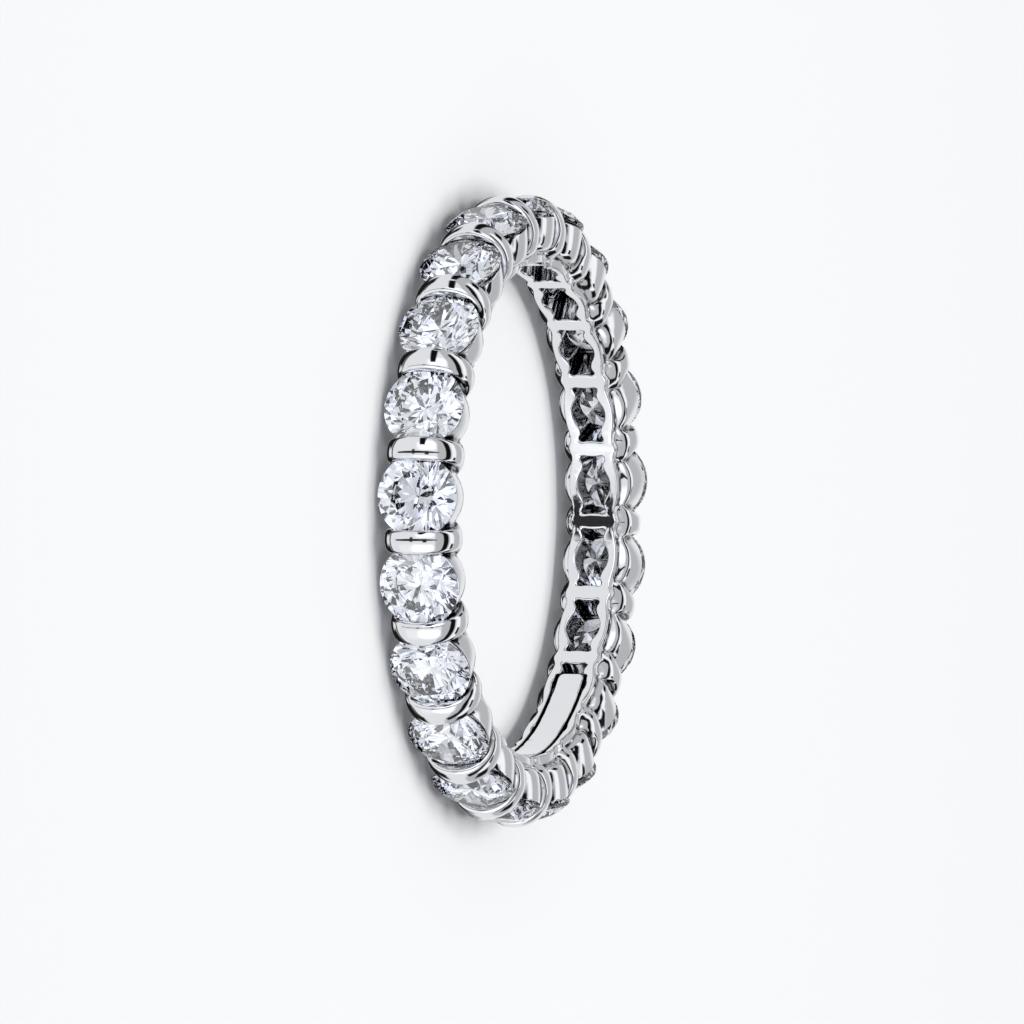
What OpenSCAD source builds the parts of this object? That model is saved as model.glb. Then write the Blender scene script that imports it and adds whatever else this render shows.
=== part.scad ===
// Eternity ring lying on its side, with one row of brilliant cut stones between domed bars.
// All sizes are in millimetres. The ring's axis is +Z and the surface it lies on is at Z = 0.

/* [Ring] */
// diameter of the hole for the finger
inside_diameter = 17.0; // [16.6:0.1:17.6]
// height of the stones' girdles above the bore
girdle_height = 1.77; // [1.73:0.01:1.85]

/* [Stones] */
// girdle diameter of a stone
stone_diameter = 2.8; // [2.7:0.02:2.84]
// distance between opposite corners of the table, as a share of the girdle diameter
table_share = 0.57; // [0.52:0.01:0.62]
// slope of the crown's main facets in degrees
crown_angle = 34.5; // [32:0.5:36]
// slope of the pavilion's main facets in degrees
pavilion_angle = 40.75; // [40:0.25:41.5]
// thickness of the girdle
girdle_thickness = 0.1; // [0.06:0.01:0.12]
// how far the star facets reach from the table towards the girdle, as a share
star_share = 0.5; // [0.4:0.05:0.6]
// how far the lower half facets reach from the girdle towards the culet, as a share
lower_half_share = 0.78; // [0.7:0.02:0.86]
// gap between a stone and the metal that holds it
stone_gap = 0.03; // [0.02:0.005:0.04]

/* [Bars] */
// height of a bar's crest above the bore
bar_height = 2.44; // [2.36:0.02:2.54]
// width of a bar along the ring's axis
bar_width = 2.52; // [2.48:0.01:2.6]
// thickness of a bar at its middle
bar_middle = 0.82; // [0.74:0.01:0.86]
// thickness of a bar near its ends
bar_end = 0.46; // [0.4:0.01:0.52]
// radius that rounds a bar's rim across its thickness
bar_rim_radius = 0.8; // [0.6:0.02:1.0]
// height of a bar's feet above the bore
bar_foot_height = 0.1; // [0.06:0.01:0.16]
// height over which a bar's feet slope in to the rail
bar_foot_slope = 0.84; // [0.76:0.02:0.9]
// how far a bar's feet slope in, as a share of that height
bar_foot_share = 0.4; // [0.36:0.01:0.44]

/* [Cups] */
// diameter of the cup under each stone
cup_diameter = 2.68; // [2.64:0.01:2.72]
// distance from the middle of the girdle down to the cup's rim
rim_drop = 0.2; // [0.18:0.01:0.24]
// height of the cup's straight wall
cup_wall = 0.38; // [0.34:0.01:0.44]
// radius that rounds the bottom of the cup
cup_round = 0.44; // [0.4:0.01:0.46]
// width of the solid ring that joins the cups under the bars
core_width = 2.04; // [1.96:0.02:2.1]
// height of that ring's top above the bore
core_height = 1.35; // [1.3:0.01:1.4]
// height over which that ring widens from the rails to its full width
core_shoulder = 0.3; // [0.24:0.02:0.36]
// how far that ring's foot stands in from the rails' hollows
core_step = 0.04; // [0.02:0.01:0.06]

/* [Rails] */
// width over both rails, where they bulge under a stone
rail_width = 1.78; // [1.72:0.02:1.84]
// width over both rails, in the hollows beside each bar
rail_waist = 1.53; // [1.48:0.01:1.58]
// width over both rails, at the small bump behind each bar
rail_bump = 1.72; // [1.66:0.02:1.8]
// height of the rails above the bore
rail_height = 0.42; // [0.36:0.01:0.48]
// radius of the small bump behind each bar
bump_radius = 0.62; // [0.56:0.02:0.7]

/* [Windows] */
// thickness of a crossbar at the bore
crossbar = 0.38; // [0.34:0.01:0.42]
// how far a crossbar's face lies behind the rails' faces, which touch the finger
crossbar_relief = 0.02; // [0.01:0.005:0.04]
// width of a window's waist along the ring's axis
window_width = 0.82; // [0.76:0.01:0.86]
// diameter of the round hole under each stone
window_hole = 1.24; // [1.18:0.01:1.26]
// how far a window is wider at its corners, on each side
window_flare = 0.12; // [0.08:0.01:0.14]
// radius of a window's corners
window_corner = 0.18; // [0.14:0.01:0.2]
// height of a window's top above the bore
window_height = 1.22; // [1.16:0.01:1.26]

/* [Plate] */
// width of the plain plate inside the bore
plate_width = 0.95; // [0.9:0.01:1.0]
// thickness of the plate
plate_thickness = 0.34; // [0.28:0.01:0.38]
// how far the plate stands in from the bore
plate_proud = 0.02; // [0.02:0.01:0.04]
// angle that the plate covers, in degrees
plate_angle = 58.4; // [56:0.4:60]
// radius of the plate's corners
plate_corner = 0.2; // [0.14:0.02:0.26]

/* [Hidden] */
stone_count = 21;
pitch_angle = 360 / stone_count;
first_stone_angle = -90;
plate_bar = 7;

bore_radius = inside_diameter / 2;
stone_radius = stone_diameter / 2;
table_radius = table_share * stone_radius;
axis_height = max(stone_radius, cup_diameter / 2, bar_width / 2);
girdle_radius = bore_radius + girdle_height;
crown_height = (stone_radius - table_radius) * tan(crown_angle);
pavilion_depth = stone_radius * tan(pavilion_angle);
half_girdle = girdle_thickness / 2;

bar_crest_radius = bore_radius + bar_height;
bar_half_width = bar_width / 2;
bar_centre_radius = bar_crest_radius - bar_half_width;
bar_foot_radius = bore_radius + bar_foot_height;
bar_foot_inset = bar_foot_share * bar_foot_slope;
bar_sagitta = (bar_middle - bar_end) / 2;
bar_side_radius = (pow(bar_half_width, 2) + pow(bar_sagitta, 2)) / (2 * bar_sagitta);

rim_radius = girdle_radius - rim_drop;
rail_radius = bore_radius + rail_height;
core_waist = rail_waist - 2 * core_step;

pitch_at_bore = 2 * bore_radius * tan(pitch_angle / 2);
window_length = pitch_at_bore - crossbar;
hollow_width = window_width - 2 * crossbar_relief;
bump_depth = (rail_bump - rail_waist) / 2;
bump_reach = sqrt(pow(bump_radius, 2) - pow(bump_radius - bump_depth, 2));
rail_hollow = pitch_at_bore / 2 - bump_reach;
rail_sagitta = (rail_width - rail_waist) / 2;
rail_arc_radius = (pow(rail_hollow, 2) + pow(rail_sagitta, 2)) / (2 * rail_sagitta);

// how far one shape runs into another, and how far cutters reach past
overlap = 0.05;
spare = 1;
$fn = 96;

function stone_angle(number) = first_stone_angle + (number - 1) * pitch_angle;
function bar_angle(number) = stone_angle(number) + pitch_angle / 2;

// Local Z points outwards from the ring's axis, and local X lies along the axis.
module facing_out(angle) {
    translate([0, 0, axis_height])
        rotate([0, 0, angle])
            rotate([0, 90, 0])
                children();
}

// A flat shape's X and Y become local Y and Z, and it is made as wide along the axis as told.
module across(width) {
    rotate([90, 0, 90])
        linear_extrude(width, center = true)
            children();
}

// The part of the ring round one stone, from the middle of one bar to the middle of the next.
module wedge(number) {
    reach = 2 * bar_crest_radius;
    before = bar_angle(number - 1);
    after = bar_angle(number);
    linear_extrude(2 * axis_height)
        polygon([[0, 0], reach * [cos(before), sin(before)], reach * [cos(after), sin(after)]]);
}

module bars_beside(number) {
    for (bar_number = [number - 1, number])
        facing_out(bar_angle(bar_number))
            children();
}

// Two rails and what lies between them, before the windows are cut.
// The rails swell under each stone and behind each bar, and the crossbars' faces lie a little deeper.
module rails(number) {
    intersection() {
        translate([0, 0, axis_height])
            difference() {
                cylinder(h = rail_width, r = rail_radius, center = true);
                cylinder(h = rail_width + spare, r = bore_radius, center = true);
                cylinder(h = hollow_width, r = bore_radius + crossbar_relief, center = true);
            }
        union() {
            facing_out(stone_angle(number))
                linear_extrude(rail_radius + spare)
                    rail_swell();
            bars_beside(number)
                linear_extrude(rail_radius + spare)
                    rail_bumps();
        }
    }
}

module rail_swell() {
    intersection() {
        translate([rail_arc_radius - rail_width / 2, 0])
            circle(rail_arc_radius);
        translate([rail_width / 2 - rail_arc_radius, 0])
            circle(rail_arc_radius);
        square([rail_width, pitch_at_bore + crossbar], center = true);
    }
}

module rail_bumps() {
    for (side = [-1, 1])
        translate([side * (rail_bump / 2 - bump_radius), 0])
            circle(bump_radius);
}

// The solid ring under the bars, narrow above the rails and wider where the bars stand on it.
module core() {
    shoulder = rail_radius + core_shoulder / 2;
    translate([0, 0, axis_height])
        rotate_extrude()
            polygon([
                [bore_radius + rail_height / 2, -core_waist / 2],
                [shoulder, -core_waist / 2],
                [shoulder + core_shoulder, -core_width / 2],
                [bore_radius + core_height, -core_width / 2],
                [bore_radius + core_height, core_width / 2],
                [shoulder + core_shoulder, core_width / 2],
                [shoulder, core_waist / 2],
                [bore_radius + rail_height / 2, core_waist / 2]
            ]);
}

module cup() {
    cup_radius = cup_diameter / 2;
    neck_radius = cup_radius - cup_round;
    rotate_extrude() {
        translate([0, rim_radius - cup_wall])
            square([cup_radius, cup_wall]);
        translate([0, bore_radius + rail_height / 2])
            square([neck_radius, rim_radius - cup_wall - bore_radius - rail_height / 2]);
        translate([neck_radius, rim_radius - cup_wall])
            intersection() {
                circle(cup_round);
                translate([0, -cup_round])
                    square(cup_round);
            }
    }
}

// Half of a bar's section across its thickness, from its middle out to the rounded rim.
module rim_half() {
    flat = bar_half_width - bar_rim_radius;
    translate([0, -bar_middle / 2])
        square([flat, bar_middle]);
    intersection() {
        translate([flat, 0])
            circle(bar_rim_radius);
        translate([flat, -bar_middle / 2])
            square([bar_rim_radius, bar_middle]);
    }
}

module bar_arch() {
    translate([0, 0, bar_centre_radius])
        rotate([90, 0, 0])
            rotate_extrude(angle = 180)
                rim_half();
    translate([0, 0, bar_foot_radius])
        linear_extrude(bar_centre_radius - bar_foot_radius) {
            rim_half();
            mirror([1, 0])
                rim_half();
        }
}

module bar_outline() {
    polygon([
        [-bar_half_width - overlap, bar_crest_radius + overlap],
        [-bar_half_width - overlap, bar_foot_radius + bar_foot_slope + overlap],
        [-bar_half_width + bar_foot_inset, bar_foot_radius - overlap],
        [bar_half_width - bar_foot_inset, bar_foot_radius - overlap],
        [bar_half_width + overlap, bar_foot_radius + bar_foot_slope + overlap],
        [bar_half_width + overlap, bar_crest_radius + overlap]
    ]);
}

module bar() {
    side_centre = bar_side_radius - bar_middle / 2;
    intersection() {
        bar_arch();
        rotate([90, 0, 0])
            linear_extrude(bar_middle + spare, center = true)
                bar_outline();
        translate([0, side_centre, 0])
            cylinder(h = bar_crest_radius + spare, r = bar_side_radius);
        translate([0, -side_centre, 0])
            cylinder(h = bar_crest_radius + spare, r = bar_side_radius);
    }
}

// One quarter of a window's outline: its waist, then the rounded corner.
function window_quarter() =
    let (x = window_width / 2 + window_flare - window_corner)
    let (y = window_length / 2 - window_corner)
    concat(
        [[window_width / 2, y - window_corner]],
        [for (turn = [0 : 30 : 90]) [x + window_corner * cos(turn), y + window_corner * sin(turn)]]
    );

// The hole behind each stone: a waisted slot between two crossbars with a round middle.
module window() {
    quarter = window_quarter();
    last = len(quarter) - 1;
    translate([0, 0, bore_radius - spare])
        linear_extrude(spare + window_height) {
            circle(window_hole / 2);
            polygon(concat(
                quarter,
                [for (i = [last : -1 : 0]) [-quarter[i][0], quarter[i][1]]],
                [for (i = [0 : last]) [-quarter[i][0], -quarter[i][1]]],
                [for (i = [last : -1 : 0]) [quarter[i][0], -quarter[i][1]]]
            ));
        }
}

// The room a stone takes up, with the gap round it.
module seat() {
    side_gap = stone_gap / sin(pavilion_angle);
    crown_gap = stone_gap / sin(crown_angle);
    top = half_girdle + crown_height + crown_gap * tan(crown_angle);
    bottom = half_girdle + pavilion_depth + side_gap * tan(pavilion_angle);
    translate([0, 0, girdle_radius])
        rotate_extrude()
            polygon([
                [0, -bottom],
                [stone_radius + stone_gap, -half_girdle - (side_gap - stone_gap) * tan(pavilion_angle)],
                [stone_radius + stone_gap, half_girdle + (crown_gap - stone_gap) * tan(crown_angle)],
                [table_radius, top],
                [0, top]
            ]);
}

module sector(inner, outer, angle) {
    reach = 2 * outer * tan(angle / 2);
    difference() {
        intersection() {
            circle(outer);
            polygon([[0, 0], [reach, 2 * outer], [-reach, 2 * outer]]);
        }
        circle(inner);
    }
}

module plate() {
    inner_radius = bore_radius - plate_proud;
    end_angle = atan((plate_corner + overlap) / bore_radius);
    straight_angle = plate_angle - 2 * end_angle;
    intersection() {
        across(plate_width)
            sector(inner_radius, inner_radius + plate_thickness, plate_angle + 2 * end_angle);
        union() {
            across(plate_width)
                sector(bore_radius - spare, bore_radius + spare, straight_angle);
            for (side = [-1, 1])
                rotate([side * straight_angle / 2, 0, 0])
                    linear_extrude(bore_radius + spare)
                        plate_end();
        }
    }
}

module plate_end() {
    reach = 2 * (plate_corner + overlap);
    square([plate_width - 2 * plate_corner, reach], center = true);
    square([plate_width, reach - 2 * plate_corner], center = true);
    for (x = [-1, 1])
        for (y = [-1, 1])
            translate([x * (plate_width / 2 - plate_corner), y * (reach / 2 - plate_corner)])
                circle(plate_corner);
}

// The metal round one stone.
module band_pitch(number) {
    difference() {
        intersection() {
            wedge(number);
            union() {
                rails(number);
                core();
                facing_out(stone_angle(number))
                    cup();
                bars_beside(number)
                    bar();
            }
        }
        facing_out(stone_angle(number)) {
            window();
            seat();
        }
    }
}

module band() {
    color([0.89, 0.9, 0.91]) {
        for (number = [1 : stone_count])
            band_pitch(number);
        facing_out(bar_angle(plate_bar))
            plate();
    }
}

function ring_point(radius, step, height) =
    [radius * cos(22.5 * step), radius * sin(22.5 * step), height];

// A round brilliant with its table towards local +Z and the middle of its girdle at the origin.
module brilliant() {
    star_radius = table_radius + star_share * (stone_radius - table_radius);
    star_height = half_girdle + crown_height
        - (star_radius * cos(22.5) - table_radius) * tan(crown_angle);
    lower_radius = (1 - lower_half_share) * stone_radius;
    culet = -half_girdle - pavilion_depth;
    lower_height = culet + lower_radius * cos(22.5) * tan(pavilion_angle);
    points = concat(
        [for (i = [0 : 7]) ring_point(table_radius, 2 * i, half_girdle + crown_height)],
        [for (i = [0 : 7]) ring_point(star_radius, 2 * i + 1, star_height)],
        [for (i = [0 : 15]) ring_point(stone_radius, i, half_girdle)],
        [for (i = [0 : 15]) ring_point(stone_radius, i, -half_girdle)],
        [for (i = [0 : 7]) ring_point(lower_radius, 2 * i + 1, lower_height)],
        [[0, 0, culet]]
    );
    table = 0;
    star = 8;
    upper = 16;
    lower = 32;
    low = 48;
    tip = 56;
    faces = concat(
        [[for (i = [7 : -1 : 0]) table + i]],
        [for (i = [0 : 7]) [table + i, table + (i + 1) % 8, star + i]],
        [for (i = [0 : 7]) [table + i, star + i, upper + 2 * i, star + (i + 7) % 8]],
        [for (i = [0 : 7]) [star + i, upper + 2 * i + 1, upper + 2 * i]],
        [for (i = [0 : 7]) [star + i, upper + (2 * i + 2) % 16, upper + 2 * i + 1]],
        [for (i = [0 : 15]) [upper + i, upper + (i + 1) % 16, lower + (i + 1) % 16, lower + i]],
        [for (i = [0 : 7]) [low + i, lower + 2 * i, lower + 2 * i + 1]],
        [for (i = [0 : 7]) [low + i, lower + 2 * i + 1, lower + (2 * i + 2) % 16]],
        [for (i = [0 : 7]) [tip, low + (i + 7) % 8, lower + 2 * i, low + i]]
    );
    polyhedron(points, faces, convexity = 2);
}

module stone(number) {
    color([0.93, 0.96, 1.0, 0.5])
        facing_out(stone_angle(number))
            translate([0, 0, girdle_radius])
                brilliant();
}

band();
stone(1);  // stone_01
stone(2);  // stone_02
stone(3);  // stone_03
stone(4);  // stone_04
stone(5);  // stone_05
stone(6);  // stone_06
stone(7);  // stone_07
stone(8);  // stone_08
stone(9);  // stone_09
stone(10);  // stone_10
stone(11);  // stone_11
stone(12);  // stone_12
stone(13);  // stone_13
stone(14);  // stone_14
stone(15);  // stone_15
stone(16);  // stone_16
stone(17);  // stone_17
stone(18);  // stone_18
stone(19);  // stone_19
stone(20);  // stone_20
stone(21);  // stone_21
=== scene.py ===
import math
import random
import bmesh
import bpy
import numpy as np
from mathutils import Matrix, Vector


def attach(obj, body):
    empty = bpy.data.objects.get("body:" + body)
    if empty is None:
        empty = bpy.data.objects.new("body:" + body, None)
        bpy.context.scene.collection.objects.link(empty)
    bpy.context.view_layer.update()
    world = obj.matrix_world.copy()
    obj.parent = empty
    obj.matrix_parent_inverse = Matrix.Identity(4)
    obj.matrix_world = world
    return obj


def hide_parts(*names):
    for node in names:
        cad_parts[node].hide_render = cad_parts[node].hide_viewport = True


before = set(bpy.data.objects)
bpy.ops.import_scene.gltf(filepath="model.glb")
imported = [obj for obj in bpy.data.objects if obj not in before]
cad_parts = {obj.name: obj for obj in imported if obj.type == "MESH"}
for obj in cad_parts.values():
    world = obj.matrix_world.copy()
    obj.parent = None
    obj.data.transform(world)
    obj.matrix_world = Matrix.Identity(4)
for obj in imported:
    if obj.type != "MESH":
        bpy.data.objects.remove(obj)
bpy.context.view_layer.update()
random.seed(7)
mm = 0.001

# the ring lies on its side: axis up, floor at z = 0; sizes are in mm and degrees unless a note says otherwise
ring = {
    "stones": 21,
    "bore": 8.5,           # radius of the finger hole
    "axisHeight": 1.4,     # middle of the band above the floor
    "girdle": 10.27,       # radius on which the stones' girdles sit
    "firstStone": -90.0,
}
pitch = math.radians(360 / ring["stones"])


shot = {
    "distance": 476.2,     # from the middle of the ring
    "lens": 486.8,
    "sensor": 36,
    "lean": 71.2,          # angle between the ring's axis and the line of sight
    "roll": -0.6,
    "turn": 2.64,          # how far stone 1 is turned away from the lens
    "shiftRight": -0.106,
    "shiftUp": -0.072,
}


def addCamera():
    lean, roll, turn = (math.radians(shot[k]) for k in ("lean", "roll", "turn"))
    near = Vector((math.sin(turn), -math.cos(turn), 0))
    side = Vector((-math.cos(turn), -math.sin(turn), 0))
    axis = Vector((0, 0, 1))
    # the three directions above as the lens sees them: right, up, towards the lens
    axisSeen = Vector((math.sin(lean) * math.cos(roll), math.sin(roll), math.cos(lean) * math.cos(roll)))
    nearSeen = Vector((-math.cos(lean), 0, math.sin(lean)))
    nearSeen = (nearSeen - axisSeen * nearSeen.dot(axisSeen)).normalized()
    sideSeen = nearSeen.cross(axisSeen)
    right, up, back = (axis * axisSeen[i] + near * nearSeen[i] + side * sideSeen[i] for i in range(3))
    spot = Vector((0, 0, ring["axisHeight"])) + back * shot["distance"]
    spot = spot + right * shot["shiftRight"] + up * shot["shiftUp"]
    data = bpy.data.cameras.new("camera")
    data.lens = shot["lens"]
    data.sensor_width = shot["sensor"]
    data.clip_start = 0.01
    data.clip_end = 10
    cam = bpy.data.objects.new("camera", data)
    m = Matrix((right, up, back)).transposed().to_4x4()
    m.translation = spot * mm
    cam.matrix_world = m
    bpy.context.collection.objects.link(cam)
    bpy.context.scene.camera = cam
    return right, up, back


lensRight, lensUp, lensBack = addCamera()
print("camera set")


# the cast metal: tops, feet and zones are radii from the ring's axis
band = {
    "cell": 0.062,         # between the points that the surface is found from
    "across": (-1.5, 1.5),       # the space searched, along the ring's axis
    "out": (8.38, 11.06),        # and outward
    "plateZone": 9.1,      # no part of the plate lies further out
    "triangles": 190000,
    "barTop": 10.94,
    "barHalfWidth": 1.31,
    "barHalfThick": 0.41,
    "barEndThick": 0.4,
    "barEndAt": 1.26,      # where along a bar that thickness is reached
    "barDome": 0.95,       # radius of the gentle dome across a bar
    "barDomeDrop": 0.2,    # the dome falls no further than this
    "barEdge": 0.13,       # rounding between that dome and a bar's sides
    "barEndRound": 0.06,   # added to that rounding at a bar's ends
    "barFoot": 8.62,
    "barFootRound": 0.3,
    "barSpread": 0.22,     # how much thicker a bar's foot is
    "barSpreadFrom": 9.5,
    "barSpreadDepth": 0.6,
    "barFillet": 0.07,     # between a bar and the cups
    "barEndFillet": 0.1,   # added to that fillet at a bar's ends
    "rimTop": 10.1,
    "rimRound": 0.07,
    "coreTop": 9.85,
    "coreRound": 0.05,
    "cupFillet": 0.12,
    "railTop": 8.92,
    "railTopRound": 0.2,
    "railFillet": 0.03,
    "railRound": 0.09,
    "windowTop": 9.72,
    "windowTopRound": 0.05,
    "windowHalfLength": 1.05,
    "windowCorner": 0.22,
    "windowBow": (0.06, 3.2),    # how far the crossbars' edges wave, and how fast across the ring
    "windowEdge": 0.08,
    "seatGap": 0.03,
    "seatEdge": 0.035,
    "seatShade": 0.08,     # how far from a stone the metal is still painted dark, painted shade along the seats
    "paintedShadeReach": (0.08, 0.2, 0.4),     # how far a recess is felt for above each point, for the painted shade
    "plateAt": 21.43,      # middle of the plate, round the ring
    "plateAngle": 58.4,
    "plateHalfWidth": 0.475,
    "plateThick": 0.34,
    "plateCorner": 0.25,
    "plateRound": 0.06,
    "plateSlot": (0.475, 0.56),  # the narrow slot on both sides of the plate, across the ring
    "plateSlotEnd": 0.08,
    "plateSlotTop": 8.86,
    "plateFillet": 0.03,
    # outlines as (radius, half width)
    "barFlank": [(8.3, 0.75), (8.62, 0.86), (8.8, 1.0), (8.92, 1.12), (9.05, 1.2), (9.2, 1.25), (9.4, 1.285),
                 (9.63, 1.305), (9.9, 1.31)],
    "cupSide": [(8.3, 0.6), (8.7, 0.74), (8.82, 0.9), (8.9, 1.08), (9.0, 1.2), (9.12, 1.262), (9.3, 1.305),
                (9.5, 1.335), (9.7, 1.352), (9.9, 1.36), (10.2, 1.358)],
    "coreSide": [(8.3, 0.7), (8.9, 0.71), (9.1, 0.74), (9.3, 0.92), (9.45, 1.01), (9.7, 1.02), (10.0, 1.02)],
    # outlines as (way round the bore from the middle of a stone, half width)
    "windowSide": [(-0.2, 0.59), (0, 0.6), (0.2, 0.57), (0.36, 0.5), (0.5, 0.42), (0.63, 0.375), (0.78, 0.38),
                   (0.9, 0.44), (1.0, 0.48), (1.2, 0.5)],
    "railSwell": [(-0.2, 0.885), (0, 0.89), (0.35, 0.87), (0.7, 0.8), (0.9, 0.765), (1.02, 0.775), (1.15, 0.825),
                  (1.29, 0.86), (1.5, 0.85)],
}
# a round brilliant; table, star and lower half are shares of its width, its crown and its depth
stone = {
    "radius": 1.4,
    "table": 0.57,
    "crownSlope": 34.5,
    "pavilionSlope": 40.75,
    "halfGirdle": 0.05,
    "star": 0.5,
    "lowerHalf": 0.78,
}


def smoothCurve(points):
    # a finely sampled curve through the points, and its slope
    px, py = (np.array(c, float) for c in zip(*points))
    slope = np.gradient(py, px)
    at = np.linspace(px[0], px[-1], 600)
    i = np.clip(np.searchsorted(px, at) - 1, 0, len(px) - 2)
    w = px[i + 1] - px[i]
    t = (at - px[i]) / w
    y = ((2 * t**3 - 3 * t**2 + 1) * py[i] + (t**3 - 2 * t**2 + t) * w * slope[i]
         + (3 * t**2 - 2 * t**3) * py[i + 1] + (t**3 - t**2) * w * slope[i + 1])
    return at, y, np.gradient(y, at)


def beyond(u, v, curve):
    # how far u lies outside the curve at height v
    at, y, slope = curve
    return (u - np.interp(v, at, y)) / np.sqrt(1 + np.interp(v, at, slope) ** 2)


def softMin(a, b, k):
    h = np.maximum(k - np.abs(a - b), 0) / k
    return np.minimum(a, b) - h * h * k / 4


def softMax(a, b, k):
    return -softMin(-a, -b, k)


barFlank, cupSide, coreSide, windowSide, railSwell = (
    smoothCurve(band[name]) for name in ("barFlank", "cupSide", "coreSide", "windowSide", "railSwell"))


def stoneDistance(s, h):
    # distance to a stone from s beside its own axis and h above its girdle
    crown, pavilion = math.radians(stone["crownSlope"]), math.radians(stone["pavilionSlope"])
    rise = (1 - stone["table"]) * stone["radius"] * math.tan(crown)
    out = s - stone["radius"]
    below = out * math.sin(pavilion) - (h + stone["halfGirdle"]) * math.cos(pavilion)
    above = out * math.sin(crown) + (h - stone["halfGirdle"]) * math.cos(crown)
    return np.maximum(np.maximum(below, above), np.maximum(out, h - stone["halfGirdle"] - rise))


def bandDistance(x, angle, r):
    # distance to the cast metal without its plate, negative inside; x is along the ring's axis
    x = np.abs(x)
    turn = np.abs((angle - math.radians(ring["firstStone"]) + pitch / 2) % pitch - pitch / 2)
    stoneY, stoneUp = r * np.sin(turn), r * np.cos(turn)
    barY, barUp = r * np.sin(pitch / 2 - turn), r * np.cos(pitch / 2 - turn)

    cup = beyond(np.hypot(x, stoneY), stoneUp, cupSide)
    cup = softMax(cup, stoneUp - band["rimTop"], band["rimRound"])
    core = softMax(beyond(x, r, coreSide), r - band["coreTop"], band["coreRound"])
    metal = softMin(cup, core, band["cupFillet"])

    rail = softMax(beyond(x, ring["bore"] * turn, railSwell), r - band["railTop"], band["railTopRound"])
    metal = softMin(metal, rail, band["railFillet"])

    centre = band["barTop"] - band["barHalfWidth"]
    arch = np.hypot(x, barUp - centre) - band["barHalfWidth"]
    arch = np.where(barUp > centre, arch, beyond(x, barUp, barFlank))
    arch = arch + np.minimum(barY**2 / (2 * band["barDome"]), band["barDomeDrop"])
    thinner = band["barHalfThick"] - band["barEndThick"]
    thick = band["barHalfThick"] - thinner * np.minimum(x / band["barEndAt"], 1.1) ** 2
    thick = thick + band["barSpread"] * np.clip((band["barSpreadFrom"] - barUp) / band["barSpreadDepth"], 0, 1)
    bar = softMax(arch, np.abs(barY) - thick, band["barEdge"] + band["barEndRound"] * np.clip((x - 0.9) / 0.4, 0, 1))
    bar = softMax(bar, band["barFoot"] - barUp, band["barFootRound"])
    metal = softMin(metal, bar, band["barFillet"] + band["barEndFillet"] * np.clip((x - 0.85) / 0.35, 0, 1))

    bow, rate = band["windowBow"]
    end = stoneY - band["windowHalfLength"] + bow * np.cos(rate * x)
    hole = softMax(beyond(x, stoneY, windowSide), end, band["windowCorner"])
    hole = softMax(hole, stoneUp - band["windowTop"], band["windowTopRound"])
    metal = softMax(metal, -hole, band["windowEdge"])
    seat = stoneDistance(np.hypot(x, stoneY), stoneUp - ring["girdle"]) - band["seatGap"]
    metal = softMax(metal, -seat, band["seatEdge"])
    return softMax(metal, ring["bore"] - r, band["railRound"])


def alongPlate(angle):
    # how far round the bore each angle lies beyond the plate's end
    turn = (angle - math.radians(band["plateAt"]) + math.pi) % (2 * math.pi) - math.pi
    half = ring["bore"] * math.radians(band["plateAngle"]) / 2
    return np.abs(turn) * ring["bore"] - half


def withPlate(metal, x, angle, r):
    # the slots beside the plate, then the plate
    past = alongPlate(angle)
    low, high = band["plateSlot"]
    slot = softMax(np.abs(np.abs(x) - (low + high) / 2) - (high - low) / 2, past, band["plateSlotEnd"])
    slot = softMax(slot, r - band["plateSlotTop"], band["plateFillet"])
    metal = softMax(metal, -slot, band["plateFillet"])
    side = softMax(np.abs(x) - band["plateHalfWidth"], past, band["plateCorner"])
    face = np.abs(r - ring["bore"] - band["plateThick"] / 2) - band["plateThick"] / 2
    return softMin(metal, softMax(side, face, band["plateRound"]), band["plateFillet"])


def stoneGap(p):
    # how far each point is from the nearest stone
    turn = np.arctan2(p[:, 1], p[:, 0]) - math.radians(ring["firstStone"])
    turn = (turn + pitch / 2) % pitch - pitch / 2
    r = np.hypot(p[:, 0], p[:, 1])
    return stoneDistance(np.hypot(p[:, 2], r * np.sin(turn)), r * np.cos(turn) - ring["girdle"])


def metalDistance(p):
    x, angle, r = p[:, 2], np.arctan2(p[:, 1], p[:, 0]), np.hypot(p[:, 0], p[:, 1])
    return withPlate(bandDistance(x, angle, r), x, angle, r)


def slopeAt(p):
    # value and gradient from four points round each one
    e = 0.002
    corners = np.array([(1, -1, -1), (-1, -1, 1), (-1, 1, -1), (1, 1, 1)], float)
    values = [metalDistance(p + e * c) for c in corners]
    gradient = sum(v[:, None] * c for v, c in zip(values, corners)) / (4 * e)
    return sum(values) / 4, gradient


def pullToSurface(p, times):
    for _ in range(times):
        value, gradient = slopeAt(p)
        size = np.maximum((gradient**2).sum(1), 0.2)
        step = np.clip(value / size, -0.04, 0.04)
        p = p - step[:, None] * gradient
    return p


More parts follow.
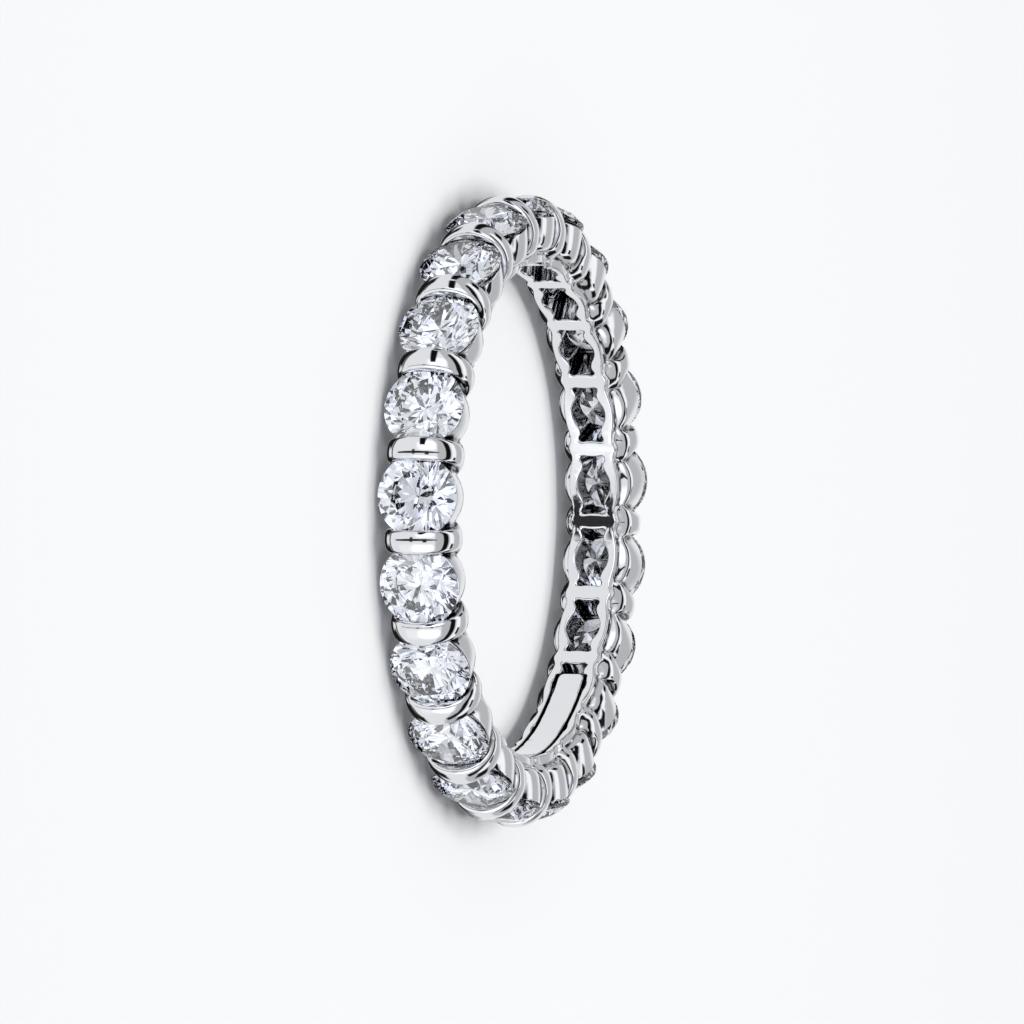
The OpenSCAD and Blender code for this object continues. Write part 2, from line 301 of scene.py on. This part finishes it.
def drawSurface():
    # points and quads of the metal's surface, found on a grid that goes round the ring
    cell = band["cell"]
    across, out = (np.linspace(low, high, round((high - low) / cell) + 1)
                   for low, high in (band["across"], band["out"]))
    perPitch = 2 * round(10 * pitch / cell / 2)
    steps = perPitch * ring["stones"]
    turns = math.radians(ring["firstStone"]) + np.arange(steps) * pitch / perPitch
    gx, ga, gr = np.meshgrid(across, turns[:perPitch], out, indexing="ij")
    field = np.tile(bandDistance(gx, ga, gr), (1, ring["stones"], 1))
    low = out < band["plateZone"]
    gx, ga, gr = np.meshgrid(across, turns, out[low], indexing="ij")
    field[:, :, low] = withPlate(field[:, :, low], gx, ga, gr)

    # the surface runs through each cell whose corners are on both sides of it
    inside = field < 0
    around = np.roll(inside, -1, 1)
    count = np.zeros(tuple(n - k for n, k in zip(field.shape, (1, 0, 1))), int)
    for a in (inside, around):
        for i in (0, 1):
            for k in (0, 1):
                count += a[i:i + count.shape[0], :, k:k + count.shape[2]]
    active = (count > 0) & (count < 8)
    number = np.full(active.shape, -1)
    number[active] = np.arange(active.sum())
    ci, cj, ck = np.nonzero(active)

    # each such cell gets one point, the mean of the crossings on its edges
    corner = {}
    for i in (0, 1):
        for j in (0, 1):
            for k in (0, 1):
                corner[i, j, k] = field[ci + i, (cj + j) % steps, ck + k]
    total = np.zeros((len(ci), 3))
    hits = np.zeros(len(ci))
    for a in corner:
        for axis in range(3):
            if a[axis]:
                continue
            b = tuple(1 if n == axis else v for n, v in enumerate(a))
            fa, fb = corner[a], corner[b]
            cut = (fa < 0) != (fb < 0)
            t = np.where(cut, fa / np.where(cut, fa - fb, 1), 0)
            for n in range(3):
                total[:, n] += np.where(cut, t if n == axis else a[n], 0)
            hits += cut
    spot = total / hits[:, None] + np.stack([ci, cj, ck], 1)
    x = across[0] + spot[:, 0] * (across[1] - across[0])
    angle = turns[0] + spot[:, 1] * pitch / perPitch
    r = out[0] + spot[:, 2] * (out[1] - out[0])
    points = np.stack([r * np.cos(angle), r * np.sin(angle), x], 1)

    # and each grid edge that crosses the surface gets a quad of the four cells round it
    quads = []
    for axis in range(3):
        ahead = np.roll(inside, -1, axis)
        change = inside != ahead
        if axis != 1:
            change[(slice(None),) * axis + (-1,)] = False
        i, j, k = np.nonzero(change)
        others = [n for n in range(3) if n != axis]
        ring4 = []
        for da, db in ((-1, -1), (0, -1), (0, 0), (-1, 0)):
            at = [i.copy(), j.copy(), k.copy()]
            at[others[0]] += da
            at[others[1]] += db
            at[1] %= steps
            ring4.append(number[at[0], at[1], at[2]])
        quad = np.stack(ring4, 1)
        turned = inside[i, j, k] != (axis == 1)
        quad[turned] = quad[turned][:, ::-1]
        quads.append(quad)
    return points, np.concatenate(quads)


def evenOut(points, quads, times):
    # slides the points along the surface so that the quads get even
    a = np.concatenate([quads[:, n] for n in range(4)])
    b = np.concatenate([quads[:, (n + 1) % 4] for n in range(4)])
    links = np.bincount(a, minlength=len(points)) + np.bincount(b, minlength=len(points))
    for _ in range(times):
        middle = np.stack([np.bincount(a, points[b, n], len(points)) + np.bincount(b, points[a, n], len(points))
                           for n in range(3)], 1) / links[:, None]
        points = pullToSurface(points + 0.5 * (middle - points), 1)
    return points


def meshFrom(name, points, faces):
    mesh = bpy.data.meshes.new(name)
    sides = faces.shape[1]
    mesh.vertices.add(len(points))
    mesh.vertices.foreach_set("co", np.asarray(points, np.float32).ravel())
    mesh.loops.add(faces.size)
    mesh.loops.foreach_set("vertex_index", np.asarray(faces, np.int32).ravel())
    mesh.polygons.add(len(faces))
    mesh.polygons.foreach_set("loop_start", np.arange(0, faces.size, sides, dtype=np.int32))
    mesh.update(calc_edges=True)
    mesh.validate()
    return mesh


def place(name, mesh, material, body="root"):
    piece = bpy.data.objects.new(name, mesh)
    bpy.context.collection.objects.link(piece)
    mesh.materials.append(material)
    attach(piece, body)
    return piece


def thinOut(mesh, share):
    helper = bpy.data.objects.new("helper", mesh)
    bpy.context.collection.objects.link(helper)
    thin = helper.modifiers.new("thin", "DECIMATE")
    thin.ratio = share
    thin.use_collapse_triangulate = True
    dg = bpy.context.evaluated_depsgraph_get()
    done = bpy.data.meshes.new_from_object(helper.evaluated_get(dg))
    bpy.data.objects.remove(helper)
    return done


def makeBandMesh():
    points, quads = drawSurface()
    points = evenOut(pullToSurface(points, 3), quads, 3)
    print("band surface:", len(points), "points,", len(quads), "quads")
    # the thinning works at a scale of metres per millimetre, so that its limits don't bite
    mesh = thinOut(meshFrom("band", points, quads), band["triangles"] / (2 * len(quads)))
    flat = np.empty(len(mesh.vertices) * 3, np.float32)
    mesh.vertices.foreach_get("co", flat)
    points = pullToSurface(flat.reshape(-1, 3).astype(float), 2)
    gradient = slopeAt(points)[1]
    normals = gradient / np.linalg.norm(gradient, axis=1)[:, None]
    # painted shade: how deep each point sits in a recess, where the metal round it is nearer than it would be over
    # an open surface; the metal's colour is darkened there in place of the shade that falls in recesses
    paintedShade = np.zeros(len(points))
    for reach in band["paintedShadeReach"]:
        over = points + reach * normals
        paintedShade += np.clip(1 - metalDistance(over) / reach, 0, 1) / len(band["paintedShadeReach"])
    # the metal close to a stone is painted dark as well, painted shade along the seats
    paintedShade = np.maximum(paintedShade, np.clip(1.25 - stoneGap(points) / band["seatShade"], 0, 1))
    shade = mesh.attributes.new("paintedShade", "FLOAT", "POINT")
    shade.data.foreach_set("value", paintedShade.astype(np.float32))
    points[:, 2] += ring["axisHeight"]
    mesh.vertices.foreach_set("co", (points * mm).astype(np.float32).ravel())
    mesh.polygons.foreach_set("use_smooth", np.ones(len(mesh.polygons), bool))
    mesh.update()
    mesh.normals_split_custom_set_from_vertices(normals.tolist())
    print("band mesh:", len(mesh.polygons), "triangles")
    return mesh


def nodesOf(name):
    material = bpy.data.materials.new(name)
    material.use_nodes = True
    tree = material.node_tree
    return material, tree, tree.nodes["Principled BSDF"]


def addNode(tree, kind, settings=(), inputs=()):
    node = tree.nodes.new(kind)
    for key, value in dict(settings).items():
        setattr(node, key, value)
    for key, value in dict(inputs).items():
        if isinstance(value, bpy.types.NodeSocket):
            tree.links.new(value, node.inputs[key])
        else:
            node.inputs[key].default_value = value
    return node


metalLook = {
    "bright": (0.93, 0.935, 0.945, 1),
    "worn": (0.86, 0.865, 0.88, 1),
    "smoothest": 0.03,
    "roughest": 0.09,
    "grain": 900.0,        # cells per metre of the cloudy wear
    "wear": (0.35, 0.75),  # the part of the cloud over which the metal gets rougher
    "polish": 9000.0,      # cells per metre of the polishing marks
    "relief": 0.06,
    "reliefDepth": 0.000004,
    # the near black of the painted shade in recesses and along the stone seats
    "paintedShadeColour": (0.03, 0.03, 0.034, 1),
    "paintedShade": (0.24, 0.62),  # how deep in a recess the painted shade starts and ends
}


def makeMetal():
    material, tree, shader = nodesOf("polished_white_metal")
    where = addNode(tree, "ShaderNodeTexCoord")
    cloud = addNode(tree, "ShaderNodeTexNoise", {}, {
        "Vector": where.outputs["Object"], "Scale": metalLook["grain"], "Detail": 3.0, "Roughness": 0.55})
    tint = addNode(tree, "ShaderNodeMix", {"data_type": "RGBA"}, {"Factor": cloud.outputs["Fac"]})
    tint.inputs[6].default_value = metalLook["bright"]
    tint.inputs[7].default_value = metalLook["worn"]
    shine = addNode(tree, "ShaderNodeMapRange", {}, {
        "Value": cloud.outputs["Fac"], "From Min": metalLook["wear"][0], "From Max": metalLook["wear"][1],
        "To Min": metalLook["smoothest"], "To Max": metalLook["roughest"]})
    marks = addNode(tree, "ShaderNodeTexNoise", {}, {
        "Vector": where.outputs["Object"], "Scale": metalLook["polish"], "Detail": 2.0, "Roughness": 0.5})
    relief = addNode(tree, "ShaderNodeBump", {}, {
        "Height": marks.outputs["Fac"], "Strength": metalLook["relief"], "Distance": metalLook["reliefDepth"]})
    # painted shade: the base colour is mixed towards near black where the recess value is high, standing in for
    # shade in recesses and along the seats
    paintedShade = addNode(tree, "ShaderNodeAttribute", {"attribute_name": "paintedShade"})
    depth = addNode(tree, "ShaderNodeMapRange", {"interpolation_type": "SMOOTHSTEP"}, {
        "Value": paintedShade.outputs["Fac"], "From Min": metalLook["paintedShade"][0], "From Max": metalLook["paintedShade"][1]})
    shaded = addNode(tree, "ShaderNodeMix", {"data_type": "RGBA"}, {"Factor": depth.outputs["Result"]})
    tree.links.new(tint.outputs[2], shaded.inputs[6])
    shaded.inputs[7].default_value = metalLook["paintedShadeColour"]
    tree.links.new(shaded.outputs[2], shader.inputs["Base Color"])
    tree.links.new(shine.outputs["Result"], shader.inputs["Roughness"])
    tree.links.new(relief.outputs["Normal"], shader.inputs["Normal"])
    shader.inputs["Metallic"].default_value = 1.0
    return material


stoneLook = {
    "clear": (1.0, 1.0, 1.0, 1),
    "deep": (0.86, 0.91, 1.0, 1),
    "ior": 2.417,
    "cloud": 1500.0,       # cells per metre of the faint change of tint
}


def makeDiamond():
    material, tree, shader = nodesOf("cut_diamond")
    where = addNode(tree, "ShaderNodeTexCoord")
    cloud = addNode(tree, "ShaderNodeTexNoise", {}, {
        "Vector": where.outputs["Object"], "Scale": stoneLook["cloud"], "Detail": 1.0})
    tint = addNode(tree, "ShaderNodeMix", {"data_type": "RGBA"}, {"Factor": cloud.outputs["Fac"]})
    tint.inputs[6].default_value = stoneLook["clear"]
    tint.inputs[7].default_value = stoneLook["deep"]
    tree.links.new(tint.outputs[2], shader.inputs["Base Color"])
    shader.inputs["Transmission Weight"].default_value = 1.0
    shader.inputs["Roughness"].default_value = 0.0
    shader.inputs["IOR"].default_value = stoneLook["ior"]
    return material


metalMaterial = makeMetal()
diamondMaterial = makeDiamond()
bandPiece = place("band_metal", makeBandMesh(), metalMaterial)
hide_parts("band")
print("band made")


def cutStone():
    # a round brilliant with its table up, every facet sawn off a round blank
    r, hg = stone["radius"], stone["halfGirdle"]
    crown, pavilion = math.radians(stone["crownSlope"]), math.radians(stone["pavilionSlope"])
    tableR = stone["table"] * r
    rise = (r - tableR) * math.tan(crown)
    deep = r * math.tan(pavilion)
    starR = tableR + stone["star"] * (r - tableR)
    lowR = (1 - stone["lowerHalf"]) * r
    half = math.radians(22.5)
    starZ = hg + rise - (starR * math.cos(half) - tableR) * math.tan(crown)
    lowZ = -hg - deep + lowR * math.cos(half) * math.tan(pavilion)

    def at(radius, step, z):
        return Vector((radius * math.cos(step * half), radius * math.sin(step * half), z))

    bm = bmesh.new()
    bmesh.ops.create_cone(bm, cap_ends=True, segments=112, radius1=r, radius2=r, depth=2.2 * deep)

    def saw(point, normal):
        if normal.dot(point) < 0:
            normal = -normal
        cut = bmesh.ops.bisect_plane(bm, geom=bm.verts[:] + bm.edges[:] + bm.faces[:], dist=1e-6,
                                     plane_co=point, plane_no=normal, clear_outer=True)["geom_cut"]
        rim = [e for e in cut if isinstance(e, bmesh.types.BMEdge)]
        bmesh.ops.edgenet_fill(bm, edges=rim)

    def sawThrough(a, b, c):
        saw(a, (b - a).cross(c - a).normalized())

    saw(Vector((0, 0, hg + rise)), Vector((0, 0, 1)))
    for i in range(8):
        az = 2 * i * half
        outward = Vector((math.cos(az), math.sin(az), 0))
        saw(at(r, 2 * i, hg), outward * math.sin(crown) + Vector((0, 0, math.cos(crown))))
        saw(at(r, 2 * i, -hg), outward * math.sin(pavilion) - Vector((0, 0, math.cos(pavilion))))
    for i in range(8):
        star, low = at(starR, 2 * i + 1, starZ), at(lowR, 2 * i + 1, lowZ)
        sawThrough(star, at(tableR, 2 * i, hg + rise), at(tableR, 2 * i + 2, hg + rise))
        for a, b in ((2 * i, 2 * i + 1), (2 * i + 1, 2 * i + 2)):
            sawThrough(star, at(r, a, hg), at(r, b, hg))
            sawThrough(low, at(r, a, -hg), at(r, b, -hg))
    bmesh.ops.remove_doubles(bm, verts=bm.verts[:], dist=1e-5)
    bmesh.ops.recalc_face_normals(bm, faces=bm.faces[:])
    for face in bm.faces:
        face.smooth = abs(face.normal.z) < 0.02
    for edge in bm.edges:
        edge.smooth = all(f.smooth for f in edge.link_faces)
    bmesh.ops.scale(bm, vec=(mm, mm, mm), verts=bm.verts[:])
    mesh = bpy.data.meshes.new("brilliant")
    bm.to_mesh(mesh)
    bm.free()
    return mesh


stoneMesh = cutStone()
stoneMesh.materials.append(diamondMaterial)
for n in range(ring["stones"]):
    angle = math.radians(ring["firstStone"]) + n * pitch
    outward = Vector((math.cos(angle), math.sin(angle), 0))
    along = Vector((-math.sin(angle), math.cos(angle), 0))
    m = Matrix((Vector((0, 0, -1)), along, outward)).transposed().to_4x4()
    m = m @ Matrix.Rotation(random.uniform(0, math.pi / 4), 4, "Z")
    m.translation = (outward * ring["girdle"] + Vector((0, 0, ring["axisHeight"]))) * mm
    piece = bpy.data.objects.new("brilliant_%02d" % (n + 1), stoneMesh)
    piece.matrix_world = m
    bpy.context.collection.objects.link(piece)
    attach(piece, "root")
    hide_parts("stone_%02d" % (n + 1))
print("stones made:", len(stoneMesh.polygons), "facets each")


floorLook = {
    "half": 0.4,           # metres
    "colour": (0.55, 0.55, 0.55, 1),
    "roughness": 0.9,
    "specular": 0.1,
}


def addFloor():
    bm = bmesh.new()
    bmesh.ops.create_grid(bm, x_segments=8, y_segments=8, size=floorLook["half"])
    mesh = bpy.data.meshes.new("floor")
    bm.to_mesh(mesh)
    bm.free()
    floor = bpy.data.objects.new("floor", mesh)
    bpy.context.collection.objects.link(floor)
    material, tree, shader = nodesOf("pale_floor")
    shader.inputs["Base Color"].default_value = floorLook["colour"]
    shader.inputs["Roughness"].default_value = floorLook["roughness"]
    shader.inputs["Specular IOR Level"].default_value = floorLook["specular"]
    mesh.materials.append(material)
    # the metal mirrors the light tent all round, not the floor
    floor.visible_glossy = False
    floor.visible_transmission = False


addFloor()

# the light tent, seen from the ring: each card's direction is (right, up, towards the lens), and its half
# sizes across and up and its soft edge are in degrees; later cards cover the earlier ones
tent = {
    "base": (0.82, 0.825, 0.84),
    "cards": [
        # the dark room behind the ring at the left, which draws the outlines of the bars
        {"at": (-0.62, 0.5, -0.6), "size": (11, 22), "soft": 8, "colour": (0.012, 0.012, 0.013)},
        {"at": (-0.62, -0.5, -0.6), "size": (11, 22), "soft": 8, "colour": (0.012, 0.012, 0.013)},
        {"at": (-0.39, 0.0, -0.92), "size": (18, 32), "soft": 6, "colour": (0.012, 0.012, 0.013)},
        # the grey side at the right, with a black and a white strip that stand upright in it
        {"at": (0.978, 0.0, -0.208), "size": (65, 85), "soft": 12, "colour": (0.5, 0.505, 0.52)},
        {"at": (0.82, 0.0, 0.57), "size": (16, 82), "soft": 10, "colour": (0.5, 0.505, 0.515)},
        {"at": (0.995, 0.0, -0.105), "size": (9, 60), "soft": 8, "colour": (1.0, 1.01, 1.03)},
        {"at": (0.956, 0.0, 0.292), "size": (9, 58), "soft": 4, "colour": (0.006, 0.006, 0.007)},
        # white panels at the back and at the left
        {"at": (0.3, -0.1, -0.95), "size": (22, 30), "soft": 22, "colour": (0.85, 0.855, 0.87)},
        {"at": (0.08, 0.5, 0.86), "size": (24, 15), "soft": 22, "colour": (1.5, 1.58, 1.85)},
        {"at": (-0.62, -0.55, 0.56), "size": (32, 17), "soft": 16, "colour": (0.93, 0.935, 0.95)},
        {"at": (0.0, -0.6, 0.8), "size": (28, 15), "soft": 22, "colour": (1.5, 1.58, 1.85)},
        # black strips overhead, upright at the left, and level behind the camera
        {"at": (-0.09, 0.86, 0.5), "size": (8.5, 28), "soft": 5, "colour": (0.006, 0.006, 0.007)},
        {"at": (0.15, 0.83, -0.54), "size": (7, 30), "soft": 4, "colour": (0.006, 0.006, 0.007)},
        {"at": (-0.423, 0.035, 0.906), "size": (66, 4.2), "soft": 2, "colour": (0.008, 0.008, 0.009)},
        {"at": (-0.88, 0.0, -0.47), "size": (3, 50), "soft": 3, "colour": (0.01, 0.01, 0.011)},
        {"at": (-0.6, 0.06, 0.8), "size": (4.5, 9), "soft": 4, "colour": (0.03, 0.03, 0.032)},
        # the camera itself
        {"at": (0.06, -0.02, 1.0), "size": (6, 7), "soft": 3, "colour": (0.02, 0.02, 0.022)},
        # smaller black flags
        {"at": (0.55, -0.75, -0.35), "size": (12, 12), "soft": 6, "colour": (0.008, 0.008, 0.009)},
        {"at": (0.93, -0.33, -0.15), "size": (5, 9), "soft": 4, "colour": (0.01, 0.01, 0.011)},
        {"at": (0.66, 0.66, -0.36), "size": (9, 8), "soft": 4, "colour": (0.004, 0.004, 0.005)},
        {"at": (0.37, -0.92, 0.12), "size": (7, 14), "soft": 4, "colour": (0.01, 0.01, 0.011)},
    ],
    "overhead": 2.2,       # watts of a soft lamp that the metal and stones don't mirror
    "overheadHeight": 0.4,       # metres, as its size
    "overheadSize": 0.3,
}


def addTent():
    world = bpy.data.worlds.new("tent")
    world.use_nodes = True
    tree = world.node_tree
    background = tree.nodes["Background"]
    look = addNode(tree, "ShaderNodeTexCoord").outputs["Generated"]
    colour = addNode(tree, "ShaderNodeRGB").outputs[0]
    colour.default_value = (*tent["base"], 1)

    def calc(operation, a, b=0.0):
        return addNode(tree, "ShaderNodeMath", {"operation": operation}, {0: a, 1: b}).outputs[0]

    def along(direction):
        dot = addNode(tree, "ShaderNodeVectorMath", {"operation": "DOT_PRODUCT"}, {0: look, 1: direction})
        return dot.outputs["Value"]

    for card in tent["cards"]:
        centre = sum((a * v for a, v in zip(card["at"], (lensRight, lensUp, lensBack))), Vector()).normalized()
        side = lensUp.cross(centre) if abs(centre.dot(lensUp)) < 0.97 else lensRight.copy()
        side = (side - centre * side.dot(centre)).normalized()
        front = along(centre)
        mask = calc("GREATER_THAN", front, 0.02)
        for axis, half in zip((side, centre.cross(side)), card["size"]):
            turned = calc("ABSOLUTE", calc("ARCTAN2", along(axis), front))
            edge, soft = math.radians(half), math.radians(card["soft"])
            fade = addNode(tree, "ShaderNodeMapRange", {"interpolation_type": "SMOOTHSTEP"}, {
                "Value": turned, "From Min": edge - soft / 2, "From Max": edge + soft / 2,
                "To Min": 1.0, "To Max": 0.0})
            mask = calc("MULTIPLY", mask, fade.outputs["Result"])
        mix = addNode(tree, "ShaderNodeMix", {"data_type": "RGBA"}, {"Factor": mask})
        tree.links.new(colour, mix.inputs[6])
        mix.inputs[7].default_value = (*card["colour"], 1)
        colour = mix.outputs[2]
    tree.links.new(colour, background.inputs["Color"])
    bpy.context.scene.world = world
    lamp = bpy.data.lights.new("overhead", "AREA")
    lamp.size = tent["overheadSize"]
    lamp.energy = tent["overhead"]
    overhead = bpy.data.objects.new("overhead", lamp)
    overhead.location = (0, 0, tent["overheadHeight"])
    overhead.visible_glossy = False
    overhead.visible_transmission = False
    bpy.context.collection.objects.link(overhead)


addTent()
print("floor and light set")

scene = bpy.context.scene
scene.view_settings.view_transform = "Standard"
scene.cycles.max_bounces = 24
scene.cycles.transmission_bounces = 20
scene.cycles.glossy_bounces = 12
scene.cycles.diffuse_bounces = 3
scene.cycles.caustics_refractive = True
scene.cycles.caustics_reflective = True
scene.cycles.sample_clamp_indirect = 8.0

print("scene ready")
